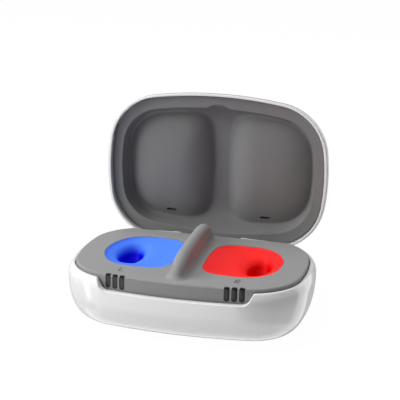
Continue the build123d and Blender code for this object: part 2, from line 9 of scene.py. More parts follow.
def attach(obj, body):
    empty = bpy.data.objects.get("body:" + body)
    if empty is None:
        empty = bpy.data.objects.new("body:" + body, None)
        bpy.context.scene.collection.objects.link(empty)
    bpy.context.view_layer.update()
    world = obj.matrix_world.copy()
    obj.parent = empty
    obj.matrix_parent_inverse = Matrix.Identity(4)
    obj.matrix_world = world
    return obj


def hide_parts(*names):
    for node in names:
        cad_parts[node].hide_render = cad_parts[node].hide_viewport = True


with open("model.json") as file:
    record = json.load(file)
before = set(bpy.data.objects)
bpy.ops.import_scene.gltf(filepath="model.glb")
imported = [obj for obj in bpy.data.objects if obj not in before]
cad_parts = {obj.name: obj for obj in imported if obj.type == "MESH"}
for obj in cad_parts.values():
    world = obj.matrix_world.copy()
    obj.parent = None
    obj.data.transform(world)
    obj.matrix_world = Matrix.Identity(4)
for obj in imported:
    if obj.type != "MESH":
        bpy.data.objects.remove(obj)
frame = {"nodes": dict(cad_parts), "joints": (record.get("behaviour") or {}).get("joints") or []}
bpy.context.scene.view_settings.view_transform = "Standard"
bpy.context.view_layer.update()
nodes = frame["nodes"]
hinge = frame["joints"][0]
mm = 0.001  # one millimetre in metres
beyond = 60.0  # millimetres, outside the case on every side, where its cutters end
weldDistance = 0.000002  # metres, between points that a cut leaves side by side
tiny = 1e-9  # keeps a division by a distance from failing

# plan outline where lid and base meet, and what several pieces share, in millimetres
caseSize = {
    "width": 100.0,
    "depth": 70.3,
    "frontRadius": 188.0,
    "sideRadius": 94.0,
    "cornerRadius": 23.5,
    "rimHeight": 25.6,
    "rimOffset": 1.2,
    "lidGap": 0.3,
    "deckTop": 27.1,
    "hingeHalf": 14.5,
}
rimZ = caseSize["rimHeight"]
hingeY = hinge["pos_m"][1] / mm
hingeZ = hinge["pos_m"][2] / mm
openAngle = hinge["range_deg"][1]


def toLinear(hexColour):
    # sRGB hex to the linear values that Blender's sockets take
    values = [int(hexColour[i:i + 2], 16) / 255 for i in (1, 3, 5)]
    return [v / 12.92 if v <= 0.04045 else ((v + 0.055) / 1.055) ** 2.4 for v in values] + [1.0]


def addNode(tree, kind, settings=None, inputs=None):
    # adds a node, sets its settings, and fills or links its inputs by name or number
    node = tree.nodes.new(kind)
    for key, value in (settings or {}).items():
        setattr(node, key, value)
    for key, value in (inputs or {}).items():
        if isinstance(value, bpy.types.NodeSocket):
            tree.links.new(value, node.inputs[key])
        else:
            node.inputs[key].default_value = value
    return node


def newMaterial(name):
    material = bpy.data.materials.new(name)
    material.use_nodes = True
    tree = material.node_tree
    tree.nodes.clear()
    output = tree.nodes.new("ShaderNodeOutputMaterial")
    return material, tree, output


def mouldedPlastic(name, look):
    # moulded plastic: base colour with faint flow variation, and the tool's texture as bump
    material, tree, output = newMaterial(name)
    place = addNode(tree, "ShaderNodeTexCoord")
    flow = addNode(tree, "ShaderNodeTexNoise", inputs={"Vector": place.outputs["Object"],
                   "Scale": 1 / (look["flowSize"] * mm), "Detail": 2.0})
    mix = addNode(tree, "ShaderNodeMix", {"data_type": "RGBA"}, {0: flow.outputs["Fac"],
                  6: toLinear(look["dark"]), 7: toLinear(look["light"])})
    colour = mix.outputs[2]
    if "heightShade" in look:
        # painted shade: colour that changes with height, between two levels in millimetres
        low, high, deep = look["heightShade"]
        parts = addNode(tree, "ShaderNodeSeparateXYZ", inputs={0: place.outputs["Object"]})
        share = addNode(tree, "ShaderNodeMapRange", {"interpolation_type": "SMOOTHSTEP"},
                        {"Value": parts.outputs["Z"], "From Min": low * mm, "From Max": high * mm})
        colour = addNode(tree, "ShaderNodeMix", {"data_type": "RGBA"}, {0: share.outputs["Result"],
                         6: toLinear(deep), 7: colour}).outputs[2]
    shader = addNode(tree, "ShaderNodeBsdfPrincipled", inputs={"Base Color": colour,
                     "Roughness": look["roughness"], "IOR": look["ior"]})
    if "specular" in look:
        shader.inputs["Specular IOR Level"].default_value = look["specular"]
    if "coat" in look:
        shader.inputs["Coat Weight"].default_value = look["coat"]
        shader.inputs["Coat Roughness"].default_value = look["coatRoughness"]
    if "grainSize" in look:
        grain = addNode(tree, "ShaderNodeTexNoise", inputs={"Vector": place.outputs["Object"],
                        "Scale": 1 / (look["grainSize"] * mm), "Detail": 3.0, "Roughness": 0.6})
        bump = addNode(tree, "ShaderNodeBump", inputs={"Height": grain.outputs["Fac"],
                       "Strength": look["grainStrength"], "Distance": look["grainDepth"] * mm})
        tree.links.new(bump.outputs["Normal"], shader.inputs["Normal"])
    tree.links.new(shader.outputs[0], output.inputs["Surface"])
    return material


def metal(name, look):
    # drawn, plated or wound metal: fine brushing along one axis, which moves the roughness up and down
    spread = 0.08
    material, tree, output = newMaterial(name)
    place = addNode(tree, "ShaderNodeTexCoord")
    stretch = addNode(tree, "ShaderNodeMapping", inputs={"Vector": place.outputs["Object"],
                      "Scale": look["stretch"]})
    lines = addNode(tree, "ShaderNodeTexNoise", inputs={"Vector": stretch.outputs["Vector"],
                    "Scale": 1 / (look["lineWidth"] * mm), "Detail": 2.0})
    rough = addNode(tree, "ShaderNodeMapRange", inputs={"Value": lines.outputs["Fac"],
                    "To Min": look["roughness"] - spread, "To Max": look["roughness"] + spread})
    shader = addNode(tree, "ShaderNodeBsdfPrincipled", inputs={"Base Color": toLinear(look["colour"]),
                     "Metallic": 1.0, "Roughness": rough.outputs["Result"]})
    tree.links.new(shader.outputs[0], output.inputs["Surface"])
    return material


# what each surface is made of: sizes, and the levels of a painted shade by height, in millimetres
materials = {
    # glossy injection moulded ABS: bright white with a clear sheen, its colour barely uneven
    "whiteAbs": mouldedPlastic("glossyMouldedAbs", {
        "dark": "#E2E2E2", "light": "#E5E5E5", "flowSize": 60.0, "roughness": 0.2, "ior": 1.53,
        "coat": 1.0, "coatRoughness": 0.03}),
    # spark eroded satin ABS: an even grain takes the shine off, and is drawn coarser so that it shows
    "greyAbs": mouldedPlastic("satinTexturedAbs", {
        "dark": "#8B8B8B", "light": "#909090", "flowSize": 9.0, "roughness": 0.5, "ior": 1.5,
        "specular": 0.25, "grainSize": 0.35, "grainStrength": 0.25, "grainDepth": 0.05}),
    # the lid's liner is the same satin ABS, a shade darker as painted shade for the lid's inside
    "linerAbs": mouldedPlastic("satinLinerAbs", {
        "dark": "#7A7A7A", "light": "#7E7E7E", "flowSize": 9.0, "roughness": 0.5, "ior": 1.5,
        "specular": 0.25, "grainSize": 0.35, "grainStrength": 0.2, "grainDepth": 0.05}),
    # satin polycarbonate dyed through, darkened by painted shade where the well drops away
    "blueInsert": mouldedPlastic("satinBluePolycarbonate", {
        "dark": "#4C80FF", "light": "#5286FF", "flowSize": 14.0, "roughness": 0.42, "ior": 1.46,
        "specular": 0.3, "heightShade": (20.8, 24.6, "#0000DC")}),
    # red the same way, darkened by painted shade where the well drops away
    "redInsert": mouldedPlastic("satinRedPolycarbonate", {
        "dark": "#FF2828", "light": "#FF3030", "flowSize": 14.0, "roughness": 0.42, "ior": 1.46,
        "specular": 0.3, "heightShade": (20.8, 24.6, "#DC0000")}),
    # smoked acrylic: black at its top end as painted shade where the window runs into the deck, and a little
    # greyer below the deck's edge
    "window": mouldedPlastic("smokedAcrylic", {
        "dark": "#020202", "light": "#040404", "flowSize": 3.0, "roughness": 0.3, "ior": 1.4,
        "heightShade": (25.4, 26.0, "#161818")}),
    # pad printed ink: matte and nearly black
    "ink": mouldedPlastic("padPrintedInk", {
        "dark": "#1A1A1A", "light": "#222222", "flowSize": 1.0, "roughness": 0.6, "ior": 1.5}),
    # moulded rubber: dull and dark, with a coarse grain
    "rubber": mouldedPlastic("mouldedRubber", {
        "dark": "#2A2A2A", "light": "#343434", "flowSize": 5.0, "roughness": 0.8, "ior": 1.5,
        "grainSize": 0.6, "grainStrength": 0.4, "grainDepth": 0.08}),
    # moulded nylon: black with a low sheen
    "blackNylon": mouldedPlastic("blackMouldedNylon", {
        "dark": "#1C1C1E", "light": "#242426", "flowSize": 8.0, "roughness": 0.55, "ior": 1.5}),
    # laminate under a solder mask: deep green with a soft shine
    "board": mouldedPlastic("solderMaskedLaminate", {
        "dark": "#0E3A22", "light": "#125030", "flowSize": 2.0, "roughness": 0.35, "ior": 1.5}),
    # plated steel: pale grey with fine lines
    "steel": metal("platedSteel", {
        "colour": "#B8BABC", "roughness": 0.3, "lineWidth": 0.2, "stretch": (1, 8, 8)}),
    # wound copper wire: reddish, with the fine lines of its turns
    "copper": metal("woundCopperWire", {
        "colour": "#B8682E", "roughness": 0.35, "lineWidth": 0.25, "stretch": (1, 1, 6)}),
}
print("materials made")

nodeMaterials = {
    "base_shell": "whiteAbs", "lid_shell": "whiteAbs", "hinge_barrel": "whiteAbs",
    "deck": "greyAbs", "lid_liner": "linerAbs",
    "left_insert": "blueInsert", "right_insert": "redInsert",
    "foot_pad": "rubber", "battery_tape": "rubber",
    "inner_frame": "blackNylon", "board_parts": "blackNylon",
    "left_ferrite": "blackNylon", "right_ferrite": "blackNylon",
    "main_board": "board", "left_light_board": "board", "right_light_board": "board",
    "left_coil": "copper", "right_coil": "copper",
}
for name, node in nodes.items():
    # the windows are smoked acrylic, and whatever isn't listed is steel
    kind = nodeMaterials.get(name, "window" if "_light_" in name else "steel")
    node.data.materials.clear()
    node.data.materials.append(materials[kind])


def quarterArcs(halfWidth, halfDepth, faceRadius, sideRadius, cornerRadius):
    # the three tangent arcs of an oval's quarter: centre, radius, first and last angle
    faceY, sideX = faceRadius - halfDepth, halfWidth - sideRadius
    a, b = faceRadius - cornerRadius, sideRadius - cornerRadius
    gap = math.hypot(sideX, faceY)
    ux, uy = sideX / gap, -faceY / gap
    along = (gap * gap + a * a - b * b) / (2 * gap)
    off = math.sqrt(a * a - along * along)
    cx, cy = ux * along - uy * off, faceY + uy * along + ux * off
    first = math.atan2(cx, faceY - cy)
    last = math.pi / 2 - math.atan2(-cy, cx - sideX)
    return [(0, faceY, faceRadius, 0, first), (cx, cy, cornerRadius, first, last),
            (sideX, 0, sideRadius, last, math.pi / 2)]


def ringColumns(counts, extra=()):
    # places round an oval's quarter as (arc number, share of the arc), mirrored to all four quarters
    quarter = [(arc, i / counts[arc]) for arc in range(3) for i in range(counts[arc])] + list(extra)
    quarter = sorted(set(quarter))
    columns = [(0, arc, share) for arc, share in quarter]
    columns += [(1, arc, share) for arc, share in reversed(quarter + [(2, 1.0)])]
    columns += [(2, arc, share) for arc, share in quarter[1:]]
    columns += [(3, arc, share) for arc, share in reversed(quarter[1:] + [(2, 1.0)])]
    return columns


def ovalRing(size, columns, leftSize=None, centre=(0, 0)):
    # points of an oval: size is (half width, half depth, face, side and corner radius)
    arcs = [quarterArcs(*size), quarterArcs(*(leftSize or size))]
    points = []
    for quarter, arc, share in columns:
        cx, cy, radius, first, last = arcs[0 if quarter < 2 else 1][arc]
        angle = first + (last - first) * share
        x, y = cx + radius * math.sin(angle), cy - radius * math.cos(angle)
        x = x if quarter < 2 else -x
        y = y if quarter in (0, 3) else -y
        points.append((x + centre[0], y + centre[1]))
    return points


def grownSize(size, side, face):
    # an oval set outwards by its own distance at the sides and at the front and rear
    mean = (side + face) / 2
    return (size[0] + side, size[1] + face, size[2] + mean, size[3] + mean, size[4] + mean)


caseOval = (caseSize["width"] / 2, caseSize["depth"] / 2, caseSize["frontRadius"],
            caseSize["sideRadius"], caseSize["cornerRadius"])


def openLid(point):
    # turns a point of the closed lid back about the hinge axis to where the lid rests open
    turn = math.radians(-openAngle)
    y, z = point[1] - hingeY, point[2] - hingeZ
    return (point[0], hingeY + y * math.cos(turn) - z * math.sin(turn),
            hingeZ + y * math.sin(turn) + z * math.cos(turn))


def bridgeRows(work, rows):
    # faces between each closed row of points and the next
    count = len(rows[0])
    for low, high in zip(rows, rows[1:]):
        for i in range(count):
            j = (i + 1) % count
            work.faces.new((low[i], low[j], high[j], high[i]))


def ringMesh(name, rings, beveled=(), bevelWidth=0.0):
    # closed mesh through rings of points, from one pole to the other, with soft edges along some rings
    mesh = bpy.data.meshes.new(name)
    work = bmesh.new()
    weights = work.edges.layers.float.new("bevel_weight_edge")
    rows = [[work.verts.new([v * mm for v in point]) for point in ring] for ring in rings]
    count = len(rings[0])
    bridgeRows(work, rows)
    for row in (rows[0], rows[-1]):
        middle = Vector((0, 0, 0))
        for vert in row:
            middle += vert.co / count
        pole = work.verts.new(middle)
        for i in range(count):
            work.faces.new((row[i], row[(i + 1) % count], pole))
    for number in beveled:
        row = rows[number]
        for i in range(count):
            edge = work.edges.get((row[i], row[(i + 1) % count]))
            edge[weights] = 1.0
    bmesh.ops.recalc_face_normals(work, faces=work.faces)
    work.to_mesh(mesh)
    work.free()
    mesh.polygons.foreach_set("use_smooth", [True] * len(mesh.polygons))
    piece = bpy.data.objects.new(name, mesh)
    bpy.context.scene.collection.objects.link(piece)
    if beveled:
        bevel = piece.modifiers.new("softEdge", "BEVEL")
        bevel.limit_method = "WEIGHT"
        bevel.width = bevelWidth * mm
        bevel.segments = 3
        bevel.use_clamp_overlap = False
        settle(piece)
    return piece


def settle(piece):
    # turns the piece and its modifiers into one plain mesh
    bpy.context.view_layer.update()
    result = bpy.data.meshes.new_from_object(piece.evaluated_get(bpy.context.evaluated_depsgraph_get()))
    piece.modifiers.clear()
    piece.data = result


def linkMesh(name, work):
    # puts a finished mesh into the scene as an object
    mesh = bpy.data.meshes.new(name)
    work.to_mesh(mesh)
    work.free()
    piece = bpy.data.objects.new(name, mesh)
    bpy.context.scene.collection.objects.link(piece)
    return piece


def blockMesh(name, low, high, place=None):
    # box between two corners, moved by place where one is given
    work = bmesh.new()
    bmesh.ops.create_cube(work, size=1.0)
    for vert in work.verts:
        point = [low[i] + (high[i] - low[i]) * (vert.co[i] + 0.5) for i in range(3)]
        vert.co = Vector(place(point) if place else point) * mm
    return linkMesh(name, work)


def barMesh(name, axis, centre, radius, first, last):
    # round bar along X or Y, between two places on that axis
    work = bmesh.new()
    bmesh.ops.create_cone(work, cap_ends=True, segments=48, radius1=radius * mm, radius2=radius * mm,
                          depth=(last - first) * mm)
    turn = Matrix.Rotation(math.pi / 2, 4, "Y" if axis == "X" else "X")
    middle = (first + last) / 2
    place = (middle, centre[0], centre[1]) if axis == "X" else (centre[0], middle, centre[1])
    bmesh.ops.transform(work, matrix=Matrix.Translation([v * mm for v in place]) @ turn, verts=work.verts)
    return linkMesh(name, work)


def prismMesh(name, outline, low, high, place=None):
    # straight prism over a closed plan outline, moved by place where one is given
    work = bmesh.new()
    rows = []
    for level in (low, high):
        points = [(x, y, level) for x, y in outline]
        rows.append([work.verts.new(Vector(place(p) if place else p) * mm) for p in points])
    work.faces.new(rows[0])
    work.faces.new(rows[1])
    bridgeRows(work, rows)
    bmesh.ops.recalc_face_normals(work, faces=work.faces)
    return linkMesh(name, work)


def cutOut(piece, cutters, operation="DIFFERENCE"):
    # cuts or joins with simple solids, which are then thrown away
    for cutter in cutters:
        change = piece.modifiers.new("cut", "BOOLEAN")
        change.operation = operation
        change.object = cutter
        change.solver = "EXACT"
    settle(piece)
    for cutter in cutters:
        bpy.data.objects.remove(cutter)


def smoothByAngle(piece, degrees=40):
    # smooth faces with sharp edges kept where the surface turns hard
    work = bmesh.new()
    work.from_mesh(piece.data)
    bmesh.ops.remove_doubles(work, verts=work.verts, dist=weldDistance)
    limit = math.radians(degrees)
    for edge in work.edges:
        edge.smooth = edge.is_manifold and edge.calc_face_angle(0.0) < limit
    for face in work.faces:
        face.smooth = True
    work.to_mesh(piece.data)
    work.free()


def finishPiece(piece, body, material, replaced):
    # gives the piece its material, its body and the CAD nodes that it takes the place of
    piece.data.materials.clear()
    piece.data.materials.append(materials[material])
    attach(piece, body)
    if replaced:
        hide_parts(*replaced)
    print(piece.name, len(piece.data.polygons), "faces")


def shoulderSteps(start, end, power, count):
    # levels that crowd towards the end, where a shoulder turns over
    quarter = math.pi / 2
    return [start + (end - start) * math.sin(quarter * i / count) ** (2 / power) for i in range(count + 1)]


def between(rows, share):
    # row of numbers at a share of the way through a list of rows, on a smooth curve through them
    place = share * (len(rows) - 1)
    i = min(int(place), len(rows) - 2)
    t = place - i
    near = [rows[max(0, min(len(rows) - 1, i + k))] for k in (-1, 0, 1, 2)]
    row = []
    for p, q, r, s in zip(*near):
        line = (r - p) * t
        square = (2 * p - 5 * q + 4 * r - s) * t * t
        cube = (3 * q - p - 3 * r + s) * t ** 3
        row.append(0.5 * (2 * q + line + square + cube))
    return row


# white base shell: a full belly that turns under to a flat foot
baseShell = {
    "bellyOffset": 2.95,
    "bellyDrop": 4.4,
    "footProud": 0.3,
    "footInsetSide": 11.0,
    "footInsetFace": 16.5,
    "shoulderPower": 2.5,
    "wall": 2.0,
    "floorWall": 2.1,
    "straightDrop": 9.0,
    "rimEdge": 0.35,
    "notchHalfTop": 33.0,
    "notchHalfBottom": 30.4,
    "notchDepth": 4.8,
    "notchCorner": 3.8,
    "notchTopCorner": 0.8,
    "openingLow": 17.15,
    "barrelSpace": 4.7,
    "reliefRadius": 4.8,
    "lugWidth": 3.2,
    "lugFront": 30.5,
    "lugBehind": 0.4,
    "lugLow": 16.5,
    "lugDrop": 0.2,
    "fingerDepth": 1.8,
    "fingerLow": 17.5,
    "fingerTop": 26.65,
    "padReach": 3.3,
    "padTop": 1.0,
    "padColumns": (8, 12, 8),
    "inlet": (9.35, 3.6, 9.8),  # width, height and level
    "inletFront": 20.0,
    "columns": (30, 34, 16),  # on the three arcs of a quarter
    "cornerColumns": (0.012, 21),  # share of the arc between them, and how many
    "frontColumns": (0.01, 15),
    "edgeRow": 0.45,
    "blendDrop": 14.0,  # below it the rows no longer follow the rim
    "blendRows": 16,
    "shoulderRows": 34,
    "rowGap": 0.3,
    "innerSteps": (2.0, 5.0, 8.0),
    "innerDrops": (10.5, 12.5, 14.5, 16.5, 18.5, 20.5, 21.8, 22.8),
}


def roundedPath(points, radii, steps=10):
    # straight runs joined by arcs of the given radii, as dense (x, z) points
    path = [points[0]]
    for i in range(1, len(points) - 1):
        before, here, after = (Vector(points[i + k]) for k in (-1, 0, 1))
        u, v = (before - here).normalized(), (after - here).normalized()
        half = u.angle(v) / 2
        reach = radii[i - 1] / math.tan(half)
        centre = here + (u + v).normalized() * radii[i - 1] / math.sin(half)
        start, end = here + u * reach - centre, here + v * reach - centre
        swing = start.angle(end)
        for k in range(steps + 1):
            share = k / steps
            mix = (start * math.sin((1 - share) * swing) + end * math.sin(share * swing)) / math.sin(swing)
            path.append(tuple(centre + mix))
    return path + [points[-1]]


def alongPath(path, x):
    # level of a path at a place along X
    for (x0, z0), (x1, z1) in zip(path, path[1:]):
        if x0 <= x <= x1:
            return z0 + (z1 - z0) * (x - x0) / max(x1 - x0, tiny)
    return path[-1][1]


# right half of the notch, as levels under the rim
notchPath = roundedPath([(0, -baseShell["notchDepth"]),
                         (baseShell["notchHalfBottom"], -baseShell["notchDepth"]),
                         (baseShell["notchHalfTop"], 0),
                         (beyond, 0)],
                        [baseShell["notchCorner"], baseShell["notchTopCorner"]])


def rimDrop(x, y):
    # how far the base's rim lies below its highest level: the front notch, and the relief at the hinge
    if y < 0:
        return -alongPath(notchPath, abs(x))
    dy, dz = y - hingeY, rimZ - hingeZ
    radius = baseShell["reliefRadius"]
    if not 0 < dy < radius:
        return 0.0
    return max(0.0, dz - math.sqrt(radius * radius - dy * dy))


def baseOffset(drop, inset):
    # how far the outside stands out from the plan outline, at a drop below the rim
    size = baseShell
    if drop < size["bellyDrop"]:
        rise = 1 - drop / size["bellyDrop"]
        return size["bellyOffset"] - (size["bellyOffset"] - caseSize["rimOffset"]) * rise ** 2
    share = min(1.0, (drop - size["bellyDrop"]) / (rimZ - size["footProud"] - size["bellyDrop"]))
    power = size["shoulderPower"]
    return -inset + (size["bellyOffset"] + inset) * (1 - share ** power) ** (1 / power)


def baseOutline(drop, columns, wall=0.0):
    # plan outline at a drop below the rim, outside, or inside where a wall is given
    side, face = (baseOffset(drop, baseShell[key]) - wall for key in ("footInsetSide", "footInsetFace"))
    if wall:
        side, face = min(0.0, side), min(0.0, face)
    return ovalRing(grownSize(caseOval, side, face), columns)


def outerBaseRings(columns):
    # rings down the outside: the first rows follow the rim and its notch, less with each row
    size = baseShell
    blend, count = size["blendDrop"], size["blendRows"]
    rim = ovalRing(grownSize(caseOval, caseSize["rimOffset"], caseSize["rimOffset"]), columns)
    rings = []
    for step in [0.0, size["edgeRow"]] + [blend * i / count for i in range(1, count + 1)]:
        ring = []
        for column, (x, y) in zip(columns, rim):
            top = rimDrop(x, y)
            drop = top + step * (blend - top) / blend
            ring.append((*baseOutline(drop, [column])[0], rimZ - drop))
        rings.append(ring)
    height = rimZ - size["footProud"]
    for drop in shoulderSteps(size["bellyDrop"], height, size["shoulderPower"], size["shoulderRows"]):
        if drop > blend + size["rowGap"]:
            rings.append([(x, y, rimZ - drop) for x, y in baseOutline(drop, columns)])
    return rings


def innerBaseRings(columns):
    # rings down the inside: a straight wall under the rim, then along the outside's form
    size = baseShell
    straight = size["straightDrop"]
    rim = ovalRing(caseOval, columns)
    rings = []
    for step in (0.0, size["edgeRow"], *size["innerSteps"]):
        ring = []
        for x, y in rim:
            top = rimDrop(x, y)
            ring.append((x, y, rimZ - top - step * (straight - top) / straight))
        rings.append(ring)
    for drop in (*size["innerDrops"], rimZ - size["footProud"] - size["floorWall"]):
        rings.append([(x, y, rimZ - drop) for x, y in baseOutline(drop, columns, size["wall"])])
    return rings


def hingeLugs():
    # lugs of the hinge with their fingers, which rise through the deck's rear ledge
    size = baseShell
    front, half = size["lugFront"], caseSize["hingeHalf"]
    lugs = []
    for side in (-1, 1):
        x0, x1 = sorted((side * half, side * (half + size["lugWidth"])))
        lugs.append(blockMesh("lug", (x0, front, size["lugLow"]),
                              (x1, caseOval[1] + size["lugBehind"], rimZ - size["lugDrop"])))
        lugs.append(blockMesh("finger", (x0, front, size["fingerLow"]),
                              (x1, front + size["fingerDepth"], size["fingerTop"])))
    return lugs


def baseCutters():
    # the hinge's opening, the pocket of the foot pad and the slot of the power inlet
    size = baseShell
    half = caseSize["hingeHalf"]
    pad = ovalRing(grownSize(caseOval, size["padReach"] - size["footInsetSide"],
                             size["padReach"] - size["footInsetFace"]), ringColumns(size["padColumns"]))
    width, height, level = size["inlet"]
    flat, front = (width - height) / 2, size["inletFront"]
    return [blockMesh("hingeOpening", (-half, hingeY, size["openingLow"]), (half, beyond, beyond)),
            barMesh("barrelSpace", "X", (hingeY, hingeZ), size["barrelSpace"], -half, half),
            prismMesh("padPocket", pad, -size["padTop"], size["padTop"]),
            blockMesh("inletSlot", (-flat, front, level - height / 2), (flat, beyond, level + height / 2)),
            barMesh("inletLeft", "Y", (-flat, level), height / 2, front, beyond),
            barMesh("inletRight", "Y", (flat, level), height / 2, front, beyond)]


def makeBaseShell():
    size = baseShell
    # more columns on both sides of the notch's ends, where the front arc meets the corner arc
    step, count = size["cornerColumns"]
    extra = [(1, step * i) for i in range(1, count + 1)]
    step, count = size["frontColumns"]
    extra += [(0, 1 - step * i) for i in range(1, count + 1)]
    columns = ringColumns(size["columns"], extra)
    outer = outerBaseRings(columns)
    rimRow = len(outer) - 1
    rings = outer[::-1] + innerBaseRings(columns)
    shell = ringMesh("baseShell", rings, (rimRow, rimRow + 1), size["rimEdge"])
    cutOut(shell, hingeLugs(), "UNION")
    cutOut(shell, baseCutters())
    smoothByAngle(shell)
    return shell


finishPiece(makeBaseShell(), "base", "whiteAbs", ["base_shell"])

# white lid shell: a low dome over a straight lip
lidShell = {
    "height": 18.5,
    "bellySide": 1.9,
    "bellyFace": 1.3,
    "bellyRise": 1.5,
    "insetSide": 14.0,
    "insetFace": 20.0,
    "domePower": 1.95,
    "wall": 1.8,
    "lipInner": 0.15,
    "lipTop": 4.77,
    "edge": 0.3,
    "openingFront": 30.2,
    "openingDrop": 3.0,
    "openingTop": 6.67,
    "columns": (26, 34, 16),
    "lipRows": (0.8, 2.5),  # heights over the rim
    "bellyRows": (0.65, 1.0, 1.25),
    "innerRows": 18,
    "outerRows": 34,
}


def lidOutline(rise, columns, wall=0.0):
    # plan outline at a height over the rim, outside, or inside where a wall is given
    size = lidShell
    offsets = []
    for belly, inset in ((size["bellySide"], size["insetSide"]), (size["bellyFace"], size["insetFace"])):
        if rise < size["bellyRise"]:
            curve = (1 - rise / size["bellyRise"]) ** 2
            offsets.append(belly - (belly - caseSize["rimOffset"]) * curve - wall)
        else:
            share = min(1.0, (rise - size["bellyRise"]) / (size["height"] - size["bellyRise"]))
            power = size["domePower"]
            offsets.append((belly + inset) * (1 - share ** power) ** (1 / power) - inset - wall)
    return ovalRing(grownSize(caseOval, *offsets), columns)


def makeLidShell():
    size = lidShell
    columns = ringColumns(size["columns"])
    gap, wall, power = caseSize["lidGap"], size["wall"], size["domePower"]
    lip = ovalRing(grownSize(caseOval, size["lipInner"], size["lipInner"]), columns)
    inner = [[(x, y, rimZ + rise) for x, y in lip] for rise in (gap, *size["lipRows"], size["lipTop"])]
    scale = size["height"] / (size["height"] - wall)
    for rise in shoulderSteps(size["lipTop"], size["height"] - wall, power, size["innerRows"]):
        inner.append([(x, y, rimZ + rise) for x, y in lidOutline(rise * scale, columns, wall)])
    outer = []
    dome = shoulderSteps(size["bellyRise"], size["height"], power, size["outerRows"])
    for rise in [gap, *size["bellyRows"]] + dome:
        outer.append([(x, y, rimZ + rise) for x, y in lidOutline(rise, columns)])
    rings = [[openLid(point) for point in ring] for ring in inner[::-1] + outer]
    lipRow = len(inner) - 1
    shell = ringMesh("lidShell", rings, (lipRow, lipRow + 1), size["edge"])
    half = caseSize["hingeHalf"]
    cutOut(shell, [blockMesh("hingeSpace", (-half, size["openingFront"], rimZ - size["openingDrop"]),
                             (half, beyond, rimZ + size["openingTop"]), openLid)])
    smoothByAngle(shell)
    return shell


finishPiece(makeLidShell(), "lid", "whiteAbs", ["lid_shell"])

# grey liner of the lid: a flat band, a deep recess, and two soft bulges with a small slot each
lidLiner = {
    "edgeOffset": -0.15,
    "bandRise": 3.17,
    "bandLip": 1.6,
    "bandSide": 4.5,
    "bandFace": 5.7,
    "bandEdge": 0.4,
    "thickness": 1.2,
    "recessRise": 14.6,
    # share of the depth, and how far the wall has come in at the sides and at the front and rear
    "recessRows": [(0.0, 0.0, 0.0), (0.15, 0.2, 0.3), (0.5, 1.0, 1.6), (0.75, 2.2, 3.6),
                   (0.9, 4.0, 6.2), (0.97, 6.2, 9.0), (1.0, 9.5, 12.5)],
    "bumpReach": 1.7,
    "bumpHalf": 5.0,
    "bumpFade": 0.45,
    "bulgePlace": (22.0, -0.6),
    "bulgeOuter": (26.2, 30.5, 70.0, 60.0, 20.0),  # half width, half depth, face, side and corner radius
    "bulgeInner": (18.4, 30.5, 70.0, 130.0, 12.5),
    "bulgeRise": 5.6,
    "bulgeFoot": 1.2,
    "bulgePower": 2.5,
    "bulgeSoftness": 0.6,
    "blend": 2.6,
    "vent": (22.6, 21.9, 5.0, 1.1),  # x, y, length and width
    "ventCut": (4.0, 15.0),
    "hingeFront": 33.4,
    "columns": (34, 26, 16),
    "bandRows": (0.25, 0.6, 0.88),
    "wallRows": 26,
    "floorRows": 44,
    "gaugeColumns": (24, 24, 24),
}


def gaugeTable(size, leftSize):
    # distance from an oval's middle to its outline, by direction
    table = []
    for x, y in ovalRing(size, ringColumns(lidLiner["gaugeColumns"]), leftSize):
        table.append((math.atan2(y, x), math.hypot(x, y)))
    table.sort()
    return [angle for angle, radius in table], [radius for angle, radius in table]


def gauge(table, x, y):
    # how far out a point lies, with 1 on the outline
    angles, radii = table
    angle = math.atan2(y, x)
    i = bisect.bisect(angles, angle)
    a0, r0 = (angles[i - 1], radii[i - 1]) if i > 0 else (angles[-1] - 2 * math.pi, radii[-1])
    a1, r1 = (angles[i], radii[i]) if i < len(angles) else (angles[0] + 2 * math.pi, radii[0])
    return math.hypot(x, y) / (r0 + (r1 - r0) * (angle - a0) / max(a1 - a0, tiny))


def smoothLower(a, b, width):
    # the lower of two levels, rounded off where they cross
    share = max(0.0, 1 - abs(a - b) / width)
    return min(a, b) - share * share * share * width / 6


def linerRise(x, y, recess, tables):
    # height over the rim at a place: the recess, with a bulge blended in on each side
    size = lidLiner
    foot = size["recessRise"] + size["bulgeFoot"]
    rise = recess
    for side, table in tables:
        out = gauge(table, x - side * size["bulgePlace"][0], y - size["bulgePlace"][1])
        fall = (1 - min(out, 1.0) ** size["bulgePower"]) ** size["bulgeSoftness"]
        rise = smoothLower(rise, foot - (foot - size["bulgeRise"]) * fall, size["blend"])
    return rise


def withBump(ring, share):
    # the small bay in the band at the front, which leaves room for the fin: flat, with soft ends
    size = lidLiner
    moved = []
    for x, y in ring:
        bump = size["bumpReach"] * share * math.exp(-(x / size["bumpHalf"]) ** 4 * 2)
        moved.append((x, y - bump if y < 0 else y))
    return moved


def recessRing(step, columns, grow=0.0):
    # share of the depth and outline of the recess's wall, from its edge at step 0 to its floor at step 1
    size = lidLiner
    share, side, face = between(size["recessRows"], step)
    sized = grownSize(caseOval, size["edgeOffset"] - size["bandSide"] - side + grow,
                      size["edgeOffset"] - size["bandFace"] - face + grow)
    return share, withBump(ovalRing(sized, columns), max(0.0, 1 - share / size["bumpFade"]))


def ventOutline(side, steps=8):
    # the small slot in a bulge, with round ends
    x, y, length, width = lidLiner["vent"]
    flat, radius = (length - width) / 2, width / 2
    outline = []
    for end in (1, -1):
        for k in range(steps + 1):
            angle = -math.pi / 2 + math.pi * k / steps
            outline.append((side * x + end * (flat + radius * math.cos(angle)),
                            y + end * radius * math.sin(angle)))
    return outline


